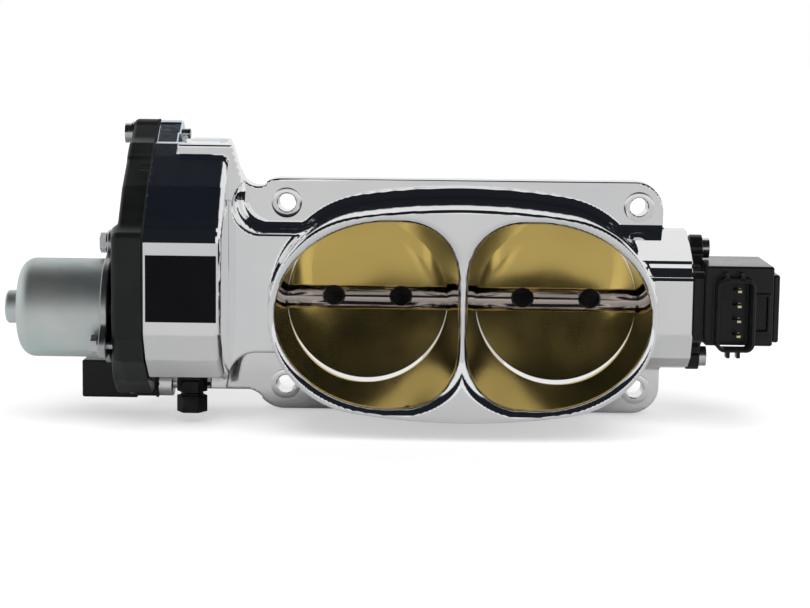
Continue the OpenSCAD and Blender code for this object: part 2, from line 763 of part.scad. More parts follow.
throttle_housing();
cover_gasket();
gear_cover();
cover_screws();
motor_terminals();
motor_plate();
motor_plate_screws();
motor_can();
motor_magnets();
motor_brush_holder();
motor_brushes();
motor_bearings();
shaft_bearings();
shaft_bush();
shaft_seals();
return_spring();
stop_screw();
stop_locknut();
idler_pin();
sensor_housing();
sensor_back_cover();
sensor_screws();
sensor_terminals();
sensor_gasket();
sensor_board();
case_label();
throttle_shaft();
throttle_plate_left();
throttle_plate_right();
plate_screws_left();
plate_screws_right();
throttle_gear();
gear_nut();
sensor_rotor();
idler_gear();
motor_shaft();
rotor_core();
rotor_windings();
commutator();
motor_pinion();
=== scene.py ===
"""Visual model of the paired-bore throttle body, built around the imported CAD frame.

Lengths in this script are millimetres in the CAD frame (X along the shaft, +Y with the air
flow, Z up) and turn into metres when a mesh is made. Curved castings and mouldings are signed
distance fields, meshed with dual contouring so that flat faces stay flat and fillets smooth.
"""

import math

import bpy
import numpy as np
from mathutils import Matrix, Vector


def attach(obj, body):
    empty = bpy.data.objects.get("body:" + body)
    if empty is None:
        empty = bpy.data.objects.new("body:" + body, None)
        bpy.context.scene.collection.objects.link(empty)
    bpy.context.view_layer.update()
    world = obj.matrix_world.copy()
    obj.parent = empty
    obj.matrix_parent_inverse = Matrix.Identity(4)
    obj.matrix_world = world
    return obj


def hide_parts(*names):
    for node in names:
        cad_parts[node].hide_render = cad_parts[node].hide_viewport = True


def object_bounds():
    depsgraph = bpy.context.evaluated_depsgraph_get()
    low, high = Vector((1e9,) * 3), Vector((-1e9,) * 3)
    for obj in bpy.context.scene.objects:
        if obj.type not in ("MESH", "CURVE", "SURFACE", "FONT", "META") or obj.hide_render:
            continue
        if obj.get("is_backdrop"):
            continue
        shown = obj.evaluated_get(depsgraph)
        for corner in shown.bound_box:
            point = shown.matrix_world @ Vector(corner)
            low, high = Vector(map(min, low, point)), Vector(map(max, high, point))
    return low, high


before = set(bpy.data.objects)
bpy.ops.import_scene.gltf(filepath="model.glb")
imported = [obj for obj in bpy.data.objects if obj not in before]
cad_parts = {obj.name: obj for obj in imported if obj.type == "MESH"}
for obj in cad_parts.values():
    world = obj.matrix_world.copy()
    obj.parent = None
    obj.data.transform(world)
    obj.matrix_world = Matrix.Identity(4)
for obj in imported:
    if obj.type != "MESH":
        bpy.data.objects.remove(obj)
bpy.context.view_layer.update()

MM = 0.001
DETAIL = 1.0

# ---------------------------------------------------------------- driving dimensions
SHAFT_Y = -20.0
SHAFT_R = 4.7
BORE_R = 31.0
BORE_X = 36.3
LIP_Y = -75.0
FLANGE_FRONT = -12.0
CASE_JOINT = -116.2
CASE_END = -88.0
BOSS_END = 87.0
COVER_IN, COVER_OUT, LOBE_OUT = -116.8, -126.1, -130.1
CAN_JOINT = -132.7
SOCKET_Y = -18.2
SOCKET_LOW, SOCKET_HIGH = SOCKET_Y - 6.4, SOCKET_Y + 6.4
STOP_X, STOP_Y = -102.1, -40.0
SENSOR_END = 116.4
MOTOR_Y, MOTOR_Z = -48.0, -1.8
CASE_BACK_END = -92.0
BLOCK_FRONT = -42.0
BEARING_R = 7.0
SHAFT_CLEARANCE = 0.06
BOLT_HOLE_R = 3.5
SCREW_R, POST_R, WALL = 2.0, 3.8, 2.5
IDLER_PIN_R, IDLER_POST_R = 2.5, 5.0
SENSOR_SCREW_Z, SENSOR_SCREW_R = 21.0, 1.8
SENSOR_FRONT, SENSOR_BACK, SENSOR_LOW, SENSOR_HIGH = -46.0, -8.0, -13.2, 16.8
PIN_HEIGHTS = (8, 2.4, -3.2, -8.8)
CAN_R, CAN_WALL, CAN_END, CAN_BOSS_END = 18.5, 1.0, -164.8, -170.5
COVER_SCREWS = [(-22.5, 62.5), (-30.0, -33.0), (-6.4, 53.6), (-6.4, -24.0)]
PLATE_SCREWS = [(-45.0, 22.4), (-67.6, -13.0), (-26.0, -20.5)]
FLOOR_Z = -46.3
BOLTS = [(x, z) for x in (-68.5, 68.5) for z in (-35.75, 35.75)]
IDLER_Y, IDLER_Z = -41.208, 21.219


# ---------------------------------------------------------------- distance field helpers
def hyp(a, b):
    return np.sqrt(a * a + b * b)


def union(a, b, r=0.0):
    """Union with a circular fillet of radius r."""
    if r <= 0:
        return np.minimum(a, b)
    return np.maximum(r, np.minimum(a, b)) - hyp(np.maximum(r - a, 0), np.maximum(r - b, 0))


def inter(a, b, r=0.0):
    """Intersection with its edge rounded to radius r."""
    if r <= 0:
        return np.maximum(a, b)
    return np.minimum(-r, np.maximum(a, b)) + hyp(np.maximum(r + a, 0), np.maximum(r + b, 0))


def cut(a, b, r=0.0):
    return inter(a, -b, r)


def span(v, low, high):
    return np.maximum(low - v, v - high)


def prism(outline, v, low, high, r=0.0):
    return inter(outline, span(v, low, high), r)


def disc(u, v, cu, cv, r):
    return hyp(u - cu, v - cv) - r


def rect(u, v, u0, u1, v0, v1, r=0.0):
    a = np.abs(u - (u0 + u1) / 2) - (u1 - u0) / 2 + r
    b = np.abs(v - (v0 + v1) / 2) - (v1 - v0) / 2 + r
    return hyp(np.maximum(a, 0), np.maximum(b, 0)) + np.minimum(np.maximum(a, b), 0) - r


def brick(x, y, z, low, high, r=0.0):
    return prism(rect(x, z, low[0], high[0], low[2], high[2], r), y, low[1], high[1], r)


def inset(points, r):
    """The polygon moved inwards by r; points run anticlockwise."""
    n = len(points)
    out = []
    for i in range(n):
        (ax, ay), (bx, by), (cx, cy) = points[i - 1], points[i], points[(i + 1) % n]
        d1, d2 = (bx - ax, by - ay), (cx - bx, cy - by)
        l1, l2 = math.hypot(*d1), math.hypot(*d2)
        n1, n2 = (-d1[1] / l1, d1[0] / l1), (-d2[1] / l2, d2[0] / l2)
        k = 1 + n1[0] * n2[0] + n1[1] * n2[1]
        out.append((bx + r * (n1[0] + n2[0]) / k, by + r * (n1[1] + n2[1]) / k))
    return out


def poly(u, v, points, r=0.0):
    """Signed distance to a polygon whose convex corners are rounded to radius r."""
    area = sum(a[0] * b[1] - b[0] * a[1] for a, b in zip(points, points[1:] + points[:1]))
    if area < 0:
        points = points[::-1]
    if r:
        points = inset(points, r)
    best, sign = None, None
    for (ax, ay), (bx, by) in zip(points, points[1:] + points[:1]):
        ex, ey = bx - ax, by - ay
        wu, wv = u - ax, v - ay
        t = np.clip((wu * ex + wv * ey) / (ex * ex + ey * ey), 0, 1)
        d = (wu - ex * t) ** 2 + (wv - ey * t) ** 2
        crosses = ((v >= ay) != (v >= by)) & ((ex * wv - ey * wu > 0) == (by > ay))
        best = d if best is None else np.minimum(best, d)
        sign = np.where(crosses, -1.0, 1.0) if sign is None else np.where(crosses, -sign, sign)
    return sign * np.sqrt(best) - r


def arc(cx, cy, r, a0, a1, n):
    steps = [math.radians(a0 + (a1 - a0) * i / n) for i in range(n + 1)]
    return [(cx + r * math.cos(a), cy + r * math.sin(a)) for a in steps]


# ---------------------------------------------------------------- meshing
def field_mesh(name, field, low, high, step):
    """Dual contouring of field, whose zero level is the surface, into a quad mesh."""
    step *= DETAIL
    low = np.array(low, np.float64) - 1.5 * step
    count = np.ceil((np.array(high) - low) / step).astype(int) + 2
    axes = [(low[i] + step * np.arange(count[i])).astype(np.float32) for i in range(3)]
    grid = np.broadcast_to(
        field(axes[0][:, None, None], axes[1][None, :, None], axes[2][None, None, :]), count
    )
    inside = grid < 0
    cells = count - 1
    strides = np.array([cells[1] * cells[2], cells[2], 1])
    points, rings, flips = [], [], []
    for axis in range(3):
        a = [slice(None)] * 3
        b = [slice(None)] * 3
        a[axis], b[axis] = slice(0, -1), slice(1, None)
        first, second = grid[tuple(a)], grid[tuple(b)]
        change = inside[tuple(a)] != inside[tuple(b)]
        idx = np.argwhere(change)
        others = [k for k in range(3) if k != axis]
        keep = (idx[:, others] > 0).all(1) & (idx[:, others] < cells[others]).all(1)
        idx = idx[keep]
        f0 = first[tuple(idx.T)].astype(np.float64)
        f1 = second[tuple(idx.T)].astype(np.float64)
        start = low + step * idx
        t = np.clip(f0 / (f0 - f1), 0.001, 0.999)
        p = start.copy()
        p[:, axis] += step * t
        mid = field(*p.T)
        # One false-position step sharpens crossings next to edges and fillets.
        same = (mid < 0) == (f0 < 0)
        lo_t, hi_t = np.where(same, t, 0.0), np.where(same, 1.0, t)
        lo_f, hi_f = np.where(same, mid, f0), np.where(same, f1, mid)
        t = lo_t + (hi_t - lo_t) * np.clip(lo_f / (lo_f - hi_f + 1e-12), 0.0, 1.0)
        p[:, axis] = start[:, axis] + step * t
        points.append(p)
        base = idx @ strides
        du, dv = strides[others[0]], strides[others[1]]
        rings.append(np.stack([base - du - dv, base - dv, base, base - du], 1))
        flips.append((f0 < 0) == (axis == 1))
    p = np.concatenate(points)
    ring = np.concatenate(rings)
    flip = np.concatenate(flips)
    n = gradient(field, p, 0.02)
    cell_ids, flat = np.unique(ring.ravel(), return_inverse=True)
    flat = flat.reshape(ring.shape)
    m = len(cell_ids)
    owner = flat.ravel()
    rows = np.repeat(np.arange(len(p)), 4)
    hits = np.bincount(owner, minlength=m).astype(float)
    centre = np.stack([np.bincount(owner, p[rows, k], m) for k in range(3)], 1) / hits[:, None]
    nn, pp = n[rows], p[rows] - centre[owner]
    dist = (nn * pp).sum(1)
    ata = np.empty((m, 3, 3))
    atb = np.empty((m, 3))
    for i in range(3):
        atb[:, i] = np.bincount(owner, nn[:, i] * dist, m)
        for j in range(i, 3):
            ata[:, i, j] = ata[:, j, i] = np.bincount(owner, nn[:, i] * nn[:, j], m)
    ata += np.eye(3) * (0.04 * hits)[:, None, None]
    move = np.linalg.solve(ata, atb[:, :, None])[:, :, 0]
    cell = np.stack([cell_ids // strides[0], cell_ids // strides[1] % cells[1],
                     cell_ids % cells[2]], 1)
    corner = low + step * cell
    verts = np.clip(centre + move, corner, corner + step)
    faces = np.where(flip[:, None], flat[:, ::-1], flat)
    return mesh_from_arrays(name, field, verts, faces)


def gradient(field, p, h):
    """Unit outward normals of the field at the points, by central differences."""
    out = np.empty_like(p)
    for axis in range(3):
        a, b = p.copy(), p.copy()
        a[:, axis] += h
        b[:, axis] -= h
        out[:, axis] = field(*a.T) - field(*b.T)
    return out / np.maximum(np.linalg.norm(out, axis=1), 1e-9)[:, None]


def mesh_from_arrays(name, field, verts, faces):
    mesh = bpy.data.meshes.new(name)
    count = len(faces)
    mesh.vertices.add(len(verts))
    mesh.vertices.foreach_set("co", (verts * MM).astype(np.float32).ravel())
    mesh.loops.add(count * 4)
    mesh.loops.foreach_set("vertex_index", faces.astype(np.int32).ravel())
    mesh.polygons.add(count)
    mesh.polygons.foreach_set("loop_start", np.arange(0, count * 4, 4, dtype=np.int32))
    mesh.polygons.foreach_set("use_smooth", np.ones(count, bool))
    mesh.update(calc_edges=True)
    mesh.validate()
    corners = verts[faces]
    centre = corners.mean(1, keepdims=True)
    inner = (corners + 0.35 * (centre - corners)).reshape(-1, 3)
    normals = gradient(field, inner, 0.05)
    if len(mesh.loops) == len(normals):
        mesh.normals_split_custom_set(normals)
    obj = bpy.data.objects.new(name, mesh)
    bpy.context.scene.collection.objects.link(obj)
    return obj


def place(obj, body, material, slot, *nodes):
    """Hangs a piece on its body, gives it its material and hides the CAD nodes it stands for."""
    obj.data.materials.clear()
    obj.data.materials.append(material)
    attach(obj, body)
    if nodes:
        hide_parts(*nodes)
    return obj


def brush_and_tint_faces(obj, material):
    """Gives the sloping faces above the case's front, those facing forward and up, a brushed finish;
    the darker blue-grey tint of that finish is a painted reflection tone.
    """
    mesh = obj.data
    mesh.materials.append(material)
    count = len(mesh.polygons)
    centre, normal = np.empty(count * 3, np.float32), np.empty(count * 3, np.float32)
    mesh.polygons.foreach_get("center", centre)
    mesh.polygons.foreach_get("normal", normal)
    x, y, z = centre.reshape(-1, 3).T / MM
    slope = normal.reshape(-1, 3)
    # Faces above the case front that face forward and up; the blue-grey tint they get is painted
    # reflection tone, the brushing is real.
    brushed_painted_tint_faces = (x < CASE_END - 2.2) & (z > 30) & (y > -71) & (slope[:, 1] < -0.3) & (slope[:, 2] > 0.3)
    mesh.polygons.foreach_set("material_index", brushed_painted_tint_faces.astype(np.int32))


# ---------------------------------------------------------------- housing outlines
LIP_HALF_H, LIP_END_R, LIP_END_X = 39.0, 36.35, 34.4
LIP_TOP_R = (LIP_END_X ** 2 + LIP_HALF_H ** 2 - LIP_END_R ** 2) / (2 * (LIP_HALF_H - LIP_END_R))
FLANGE = (
    arc(67, 34.5, 11, 90, 0, 20) + arc(67, -34.5, 11, 0, -90, 20)
    + arc(-69, -33.5, 12, -90, -138, 12) + arc(-84.6, -47.2, 9.2, 42, 80, 10)
    + [(-88, -38.2), (-105, -38.2), (-105, 59.4), (-92, 59.4), (-88.4, 47.4)]
    + arc(-79.6, 49.6, 7.6, 197, 292, 16) + arc(-71.2, 34.6, 10.6, 118, 90, 6)
)
BLOCK = (
    [(-95, 59.4), (-91, 59.4), (-87.4, 47)] + arc(-75.8, 37.0, 10.8, 165, 270, 18)
    + [(-40, 26.2), (-40, -19), (-73, -19)] + arc(-77.4, -29.5, 10.5, 90, 168, 12)
    + [(-88.8, -33), (-95, -33)]
)
CASE = [(-0.5, 59.6), (-0.5, -30), (-44, -30), (-56, -26.5), (-66, -18.5), (-72, -8.5),
        (-72, 25.4), (-71.3, 28.0), (-69.6, 29.5), (-69.1, 30.8), (-65.5, 34.2), (-57, 44.7),
        (-43, 55.2), (-36.8, 59.6)]
WING = (
    [(-107.4, 52), (-107.4, 59.4), (-86.8, 59.4)] + arc(-75.8, 37.0, 10.8, 130, 172, 8)
    + [(-90, 38.5), (-90, 52)]
)
LUG = [(-43.5, 54.5), (-26.4, 66.2), (-22.5, 67), (-18, 62), (-18, 52), (-40, 48)]
LUG_WEB = [(-108, 58), (-103.8, 58)] + arc(-103.8, 63.0, 3.6, 270, 180, 10) + [(-108, 63)]
BOSS = [(-2, 27.2), (-14, 27), (-24, 24.0), (-36.4, 17.1), (-36.6, 14.9), (-40.4, 11.9),
        (-42, 11.4), (-42, -10), (-37, -19.5), (-29, -24), (-16, -26.5), (-2, -26.7)]


def lip_outline(x, z):
    """Oval of the snout: end circles joined by tangent large arcs above and below."""
    ax, az = np.abs(x), np.abs(z)
    top_z = LIP_HALF_H - LIP_TOP_R
    end = hyp(ax - LIP_END_X, az) - LIP_END_R
    top = hyp(ax, az - top_z) - LIP_TOP_R
    beyond = (ax * (0 - top_z) - (az - top_z) * LIP_END_X) > 0
    return np.where(beyond, end, top)


def mouth_outline(x, z):
    """Egg of one mouth at the front face, for the right bore; mirror x for the left."""
    az = np.abs(z)
    left = hyp(np.maximum(21.3 - x, 0), np.maximum(az - 14.2, 0)) - 20
    right = 34.2 * (np.sqrt(np.maximum(x - 26, 0) ** 2 / 42.2 ** 2 + az ** 2 / 34.2 ** 2) - 1)
    return np.where(x > 26, right, np.where(az > 14.2, np.maximum(left, az - 34.2), left))


def mouth(x, y, z):
    ax = np.abs(x)
    t = np.clip((-33 - y) / (-33 - LIP_Y), 0, 1.1)
    ring = hyp(ax - BORE_X, z) - BORE_R
    return inter(ring * (1 - t) + mouth_outline(ax, z) * t, y + 33)


def casting(x, y, z):
    """The outside of the one casting: flange, block, wing, case, boss, snout and lugs."""
    body = prism(poly(x, z, FLANGE), y, FLANGE_FRONT, 0, 0.5)
    block = prism(poly(x, z, BLOCK), y, BLOCK_FRONT, -2, 1.0)
    wing = prism(poly(x, z, WING), y, BLOCK_FRONT - 0.6, BLOCK_FRONT + 8, 0.5)
    # The front of the case ends further right than the part behind the block.
    case_end = inter(x - CASE_END, union(y - BLOCK_FRONT - 1, x - CASE_BACK_END), 2.4)
    case = inter(poly(y, z, CASE, 0.9), case_end, 3.4)
    case = inter(case, CASE_JOINT - x)
    boss = prism(poly(y, z, BOSS, 1.5), x, 50, BOSS_END, 0.5)
    snout = prism(lip_outline(x, z), y, LIP_Y, -2, 1.3)
    body = union(body, union(union(block, wing, 0.3), case, 0.4), 2.4)
    body = union(body, boss, 2.0)
    body = union(body, snout, 3.6)
    (lug_y, lug_z), (foot_y, foot_z) = COVER_SCREWS[:2]
    lug_side = union(disc(y, z, lug_y, lug_z, 5.3), poly(y, z, LUG))
    lug = prism(lug_side, x, CASE_JOINT, -107.4, 0.8)
    web = inter(poly(x, z, LUG_WEB), poly(y, z, LUG))
    foot_side = union(disc(y, z, foot_y, foot_z, 4.9),
                      rect(y, z, foot_y - 4.9, foot_y + 4.9, foot_z, foot_z + 6))
    foot = prism(foot_side, x, CASE_JOINT, -110.1, 0.8)
    body = union(body, union(lug, web, 0.3), 0.3)
    return union(body, foot, 2.0)


def gear_room(x, y, z):
    """The hollow of the gear case, around its screw posts, idler post and shaft collar."""
    room = prism(poly(y, z, CASE) + WALL, x, CASE_JOINT - 3, -91)
    for sy, sz in COVER_SCREWS[2:]:
        room = cut(room, disc(y, z, sy, sz, POST_R))
    room = cut(room, inter(disc(y, z, IDLER_Y, IDLER_Z, IDLER_POST_R), -105.3 - x))
    room = cut(room, inter(disc(y, z, SHAFT_Y, 0, 9.5), -91.8 - x))
    return cut(room, inter(disc(x, y, STOP_X, STOP_Y, 5.2), z + 20))


def housing(x, y, z):
    body = casting(x, y, z)
    # Flared mouths, bores and the shaft's seats.
    ax = np.abs(x)
    round_r = 2.7 + 2.3 * np.clip(1 - ax / 15, 0, 1) ** 2
    wall = -mouth(x, y, z)
    body = np.minimum(-round_r, np.maximum(body, wall)) + hyp(
        np.maximum(round_r + body, 0), np.maximum(round_r + wall, 0))
    body = cut(body, hyp(ax - BORE_X, z) - BORE_R)
    shaft = hyp(y - SHAFT_Y, z)
    body = cut(body, prism(shaft - SHAFT_R - SHAFT_CLEARANCE, x, -93, 90))
    body = cut(body, prism(shaft - BEARING_R, x, -93, -76))
    body = cut(body, prism(shaft - BEARING_R, x, 72, 90))
    body = cut(body, gear_room(x, y, z), 0.3)
    for hx, hz in BOLTS:
        body = cut(body, disc(x, z, hx, hz, BOLT_HOLE_R), 0.3)
    for sy, sz in COVER_SCREWS:
        body = cut(body, inter(disc(y, z, sy, sz, SCREW_R), x + 102.6))
    body = cut(body, inter(disc(y, z, IDLER_Y, IDLER_Z, IDLER_PIN_R), x + 94.1))
    body = cut(body, prism(disc(x, y, STOP_X, STOP_Y, 3.05), z, -35, -19))
    for screw_z in (-SENSOR_SCREW_Z, SENSOR_SCREW_Z):
        body = cut(body, inter(disc(y, z, SHAFT_Y, screw_z, SENSOR_SCREW_R), 78 - x))
    return body


# ---------------------------------------------------------------- cover, motor and sensor
COVER_EDGE = [(-0.5, 59.6), (-0.5, -30), (-44, -30), (-56, -26.5), (-66, -18.5), (-72, -8.5),
              (-72, 26.5), (-66, 34.0), (-57, 44.7), (-43, 55.2), (-38, 59.6)]
LOBE = [(-73.6, 28.6), (-73.6, -9.4), (-66, -19), (-56, -28), (-45, -34.5), (-24, -34.5),
        (-16, -28), (-16, 10), (-26, 24), (-40, 29.5), (-68, 29.5)]


def cover_outline(y, z):
    (ty, tz), (fy, fz) = COVER_SCREWS[:2]
    outline = poly(y, z, COVER_EDGE, 1.2)
    lug = union(disc(y, z, ty, tz, 5.5), poly(y, z, LUG))
    foot = union(disc(y, z, fy, fz, 5.1), rect(y, z, fy - 4.8, fy + 4.8, fz, -26))
    return union(union(outline, lug, 2.0), foot, 1.5)


def cover_outside(x, y, z):
    slab = inter(cover_outline(y, z), COVER_OUT - x, 2.0)
    lobe = inter(poly(y, z, LOBE, 2.0), LOBE_OUT - x, 1.2)
    # The front of the lobe leans back towards the motor plate.
    lean = math.radians(11)
    lobe = inter(lobe, -math.cos(lean) * (x + 127.2) - math.sin(lean) * (y + 73.6), 2.0)
    body = union(slab, lobe, 3.0)
    socket = brick(x, y, z, (-146.8, SOCKET_LOW, -40), (-125.1, SOCKET_HIGH, -25.4), 0.9)
    body = union(body, socket, 0.8)
    for rib in (-35.6, -31.6):
        body = union(body, brick(x, y, z, (-148, SOCKET_Y - 4, rib),
                                 (-146.1, SOCKET_Y + 4, rib + 1.6), 0.3))
    return inter(body, x - COVER_IN, 0.4)


def gear_cover(x, y, z):
    opening = brick(x, y, z, (-150, SOCKET_LOW + 1.8, -38), (-131.6, SOCKET_HIGH - 1.8, -27.4), 0.3)
    body = cut(cover_outside(x, y, z), opening)
    room = inter(poly(y, z, CASE) + WALL, COVER_OUT + WALL - x)
    for sy, sz in COVER_SCREWS[2:]:
        room = cut(room, disc(y, z, sy, sz, POST_R))
    room = cut(room, inter(disc(y, z, IDLER_Y, IDLER_Z, IDLER_POST_R), x + 120.7))
    body = cut(body, room)
    for sy, sz in COVER_SCREWS:
        body = cut(body, disc(y, z, sy, sz, SCREW_R))
    body = cut(body, inter(disc(y, z, *COVER_SCREWS[1], 5.0), x - COVER_OUT))
    body = cut(body, inter(disc(y, z, MOTOR_Y, MOTOR_Z, 6.5), x + 116))
    body = cut(body, inter(disc(y, z, MOTOR_Y, MOTOR_Z, 8.0), x - LOBE_OUT - 1.6))
    for sy, sz in PLATE_SCREWS:
        body = cut(body, inter(disc(y, z, sy, sz, 1.5), x - LOBE_OUT - 5))
    for pin in (-2.2, 2.2):
        slot = rect(y, z, SOCKET_Y + pin - 1.2, SOCKET_Y + pin + 1.2, -32.9, -32.1)
        body = cut(body, inter(slot, x + 126.6))
    body = cut(body, inter(disc(y, z, IDLER_Y, IDLER_Z, IDLER_PIN_R), COVER_OUT + 1.5 - x))
    # Small moulding notch in the front edge.
    return cut(body, brick(x, y, z, (-120.6, -60, 50.2), (-116, -47.6, 51.9)), 0.2)


CAN_PROFILE = (
    [(CAN_JOINT, CAN_R - CAN_WALL), (CAN_JOINT, CAN_R - 0.2), (CAN_JOINT - 0.2, CAN_R)]
    + arc(CAN_END + 5.6, CAN_R - 5.6, 5.6, 90, 180, 14)
    + arc(CAN_END - 1.1, 7.3, 1.1, 0, -90, 5)
    + arc(CAN_BOSS_END + 1.1, 5.1, 1.1, 90, 180, 8) + [(CAN_BOSS_END, 0)]
)
CAN_INSIDE = [
    (CAN_BOSS_END + 1.4, 0), (CAN_BOSS_END + 1.4, 3.5), (CAN_END + CAN_WALL, 3.5),
    (CAN_END + CAN_WALL, CAN_R - 5.6), (CAN_END + 5.6, CAN_R - CAN_WALL),
    (CAN_JOINT, CAN_R - CAN_WALL),
]


def lathe(name, profile, centre_y, centre_z, steps):
    """Turns an (x, radius) profile around a shaft-wise axis."""
    angles = [2 * math.pi * i / steps for i in range(steps)]
    verts, rows = [], []
    for px, r in profile:
        if rows and (px, r) == profile[0]:
            rows.append(rows[0])
            continue
        if r == 0:
            rows.append([len(verts)] * steps)
            verts.append((px * MM, centre_y * MM, centre_z * MM))
            continue
        rows.append(list(range(len(verts), len(verts) + steps)))
        verts += [(px * MM, (centre_y + r * math.cos(a)) * MM, (centre_z + r * math.sin(a)) * MM)
                  for a in angles]
    faces = []
    for a, b in zip(rows, rows[1:]):
        for i in range(steps):
            k = (i + 1) % steps
            corners = tuple(dict.fromkeys((a[i], b[i], b[k], a[k])))
            if len(corners) > 2:
                faces.append(corners)
    mesh = bpy.data.meshes.new(name)
    mesh.from_pydata(verts, [], faces)
    mesh.polygons.foreach_set("use_smooth", np.ones(len(faces), bool))
    mesh.set_sharp_from_angle(angle=math.radians(32))
    obj = bpy.data.objects.new(name, mesh)
    bpy.context.scene.collection.objects.link(obj)
    return obj


def sensor_outside(x, y, z):
    outline = union(disc(y, z, SHAFT_Y, 0, 17.5), rect(y, z, -41, -16, -13, 14, 3))
    for side in (-SENSOR_SCREW_Z, SENSOR_SCREW_Z):
        arm = rect(y, z, SHAFT_Y - 4.9, SHAFT_Y + 4.9, min(0, side), max(0, side))
        outline = union(outline, union(disc(y, z, SHAFT_Y, side, 5.2), arm), 2.0)
    body = prism(outline, x, BOSS_END, BOSS_END + 5, 0.5)
    box = brick(x, y, z, (BOSS_END + 4, SENSOR_FRONT, SENSOR_LOW),
                (SENSOR_END, SENSOR_BACK, SENSOR_HIGH), 1.0)
    body = union(body, box, 0.6)
    shroud = prism(rect(x, z, 94.4, 108.6, -14.6, 12.6, 3.2), y, -54, -45, 0.6)
    body = union(body, shroud, 0.5)
    for rib in (97.3, 103.0):
        body = union(body, brick(x, y, z, (rib, -53.2, 12), (rib + 1.5, -46, 14.6), 0.3), 0.3)
    for prong in (98.4, 102.2):
        body = union(body, brick(x, y, z, (prong, -52, -17), (prong + 1.4, -47, -14), 0.3), 0.3)
    latch_frame = brick(x, y, z, (108.9, -47.2, -8.6), (115.2, -44, 6.9), 0.4)
    return union(body, latch_frame, 0.3)


def sensor_body(x, y, z):
    body = sensor_outside(x, y, z)
    latch_window = brick(x, y, z, (110.0, -50, -7.4), (114.1, -44.6, 5.7), 0.3)
    body = cut(body, latch_window, 0.2)
    plug_opening = rect(x, z, 95.6, 107.4, -13.4, 11.4, 2.2)
    body = cut(body, prism(plug_opening, y, -58, -44, 0.4), 0.3)
    body = cut(body, inter(hyp(y - SHAFT_Y, z) - 11, x - 104))
    body = cut(body, brick(x, y, z, (105, -42, -11), (SENSOR_END + 2, -8.5, 15.8)))
    for side in (-SENSOR_SCREW_Z, SENSOR_SCREW_Z):
        body = cut(body, inter(disc(y, z, SHAFT_Y, side, SENSOR_SCREW_R), x - 93))
        body = cut(body, prism(disc(y, z, SHAFT_Y, side, 4.2), x, BOSS_END + 5, BOSS_END + 8.2))
    for pin in PIN_HEIGHTS:
        for low, high in (((101.3, -45), (104.3, -40.5)), ((103.8, -42.1), (106, -40.5))):
            body = cut(body, brick(x, y, z, (*low, pin - 0.45), (*high, pin + 0.45)))
    return body


def sensor_cap(x, y, z):
    lid = brick(x, y, z, (SENSOR_END, -44, -12), (SENSOR_END + 2.5, -7.5, 13.5), 0.9)
    plug = brick(x, y, z, (SENSOR_END - 1.4, -41.9, -10.9), (SENSOR_END + 1, -8.6, 12), 0.3)
    return union(lid, plug)


def motor_plate(x, y, z):
    outline = disc(y, z, MOTOR_Y, MOTOR_Z, 20.5)
    for sy, sz in PLATE_SCREWS:
        outline = union(outline, disc(y, z, sy, sz, 5.0), 4.0)
    plate = prism(outline, x, CAN_JOINT, LOBE_OUT, 0.5)
    plate = union(plate, prism(disc(y, z, MOTOR_Y, MOTOR_Z, 7.9), x, LOBE_OUT - 1, LOBE_OUT + 1.5))
    plate = cut(plate, disc(y, z, MOTOR_Y, MOTOR_Z, 3.5))
    for sy, sz in PLATE_SCREWS:
        plate = cut(plate, disc(y, z, sy, sz, 1.6))
    return plate


# ---------------------------------------------------------------- materials
def new_material(name):
    mat = bpy.data.materials.new(name)
    mat.use_nodes = True
    tree = mat.node_tree
    return mat, tree, tree.nodes["Principled BSDF"]


def noise(tree, scale, detail=3.0, stretch=(1, 1, 1)):
    coord = tree.nodes.new("ShaderNodeTexCoord")
    mapping = tree.nodes.new("ShaderNodeMapping")
    mapping.inputs["Scale"].default_value = stretch
    tree.links.new(coord.outputs["Object"], mapping.inputs["Vector"])
    tex = tree.nodes.new("ShaderNodeTexNoise")
    tex.inputs["Scale"].default_value = scale
    tex.inputs["Detail"].default_value = detail
    tree.links.new(mapping.outputs["Vector"], tex.inputs["Vector"])
    return tex.outputs["Fac"]


def ramp(tree, value, stops):
    node = tree.nodes.new("ShaderNodeValToRGB")
    elements = node.color_ramp.elements
    while len(elements) < len(stops):
        elements.new(0.5)
    for element, (place_at, colour) in zip(elements, stops):
        element.position = place_at
        element.color = (*colour, 1)
    tree.links.new(value, node.inputs["Fac"])
    return node.outputs["Color"]


def spread(tree, value, low, high):
    node = tree.nodes.new("ShaderNodeMapRange")
    node.inputs["From Min"].default_value = 0.3
    node.inputs["From Max"].default_value = 0.7
    node.inputs["To Min"].default_value = low
    node.inputs["To Max"].default_value = high
    tree.links.new(value, node.inputs["Value"])
    return node.outputs["Result"]


def bump(tree, shader, value, strength, distance):
    node = tree.nodes.new("ShaderNodeBump")
    node.inputs["Strength"].default_value = strength
    node.inputs["Distance"].default_value = distance
    tree.links.new(value, node.inputs["Height"])
    tree.links.new(node.outputs["Normal"], shader.inputs["Normal"])


def metal(name, dark, light, rough, scale=60, stretch=(1, 1, 1), bumps=0.0, depth=0.0001):
    mat, tree, shader = new_material(name)
    shader.inputs["Metallic"].default_value = 1.0
    value = noise(tree, scale, 4.0, stretch)
    tree.links.new(ramp(tree, value, [(0.35, dark), (0.65, light)]), shader.inputs["Base Color"])
    fine = noise(tree, scale * 6, 3.0, stretch)
    tree.links.new(spread(tree, fine, *rough), shader.inputs["Roughness"])
    if bumps:
        bump(tree, shader, fine, bumps, depth)
    return mat


def plastic(name, dark, light, rough, grain=1400, strength=0.25, gloss=0.5):
    mat, tree, shader = new_material(name)
    shader.inputs["Specular IOR Level"].default_value = gloss
    value = noise(tree, 90, 4.0)
    tree.links.new(ramp(tree, value, [(0.35, dark), (0.65, light)]), shader.inputs["Base Color"])
    fine = noise(tree, grain, 2.0)
    tree.links.new(spread(tree, value, *rough), shader.inputs["Roughness"])
    bump(tree, shader, fine, strength, 0.00006)
    return mat


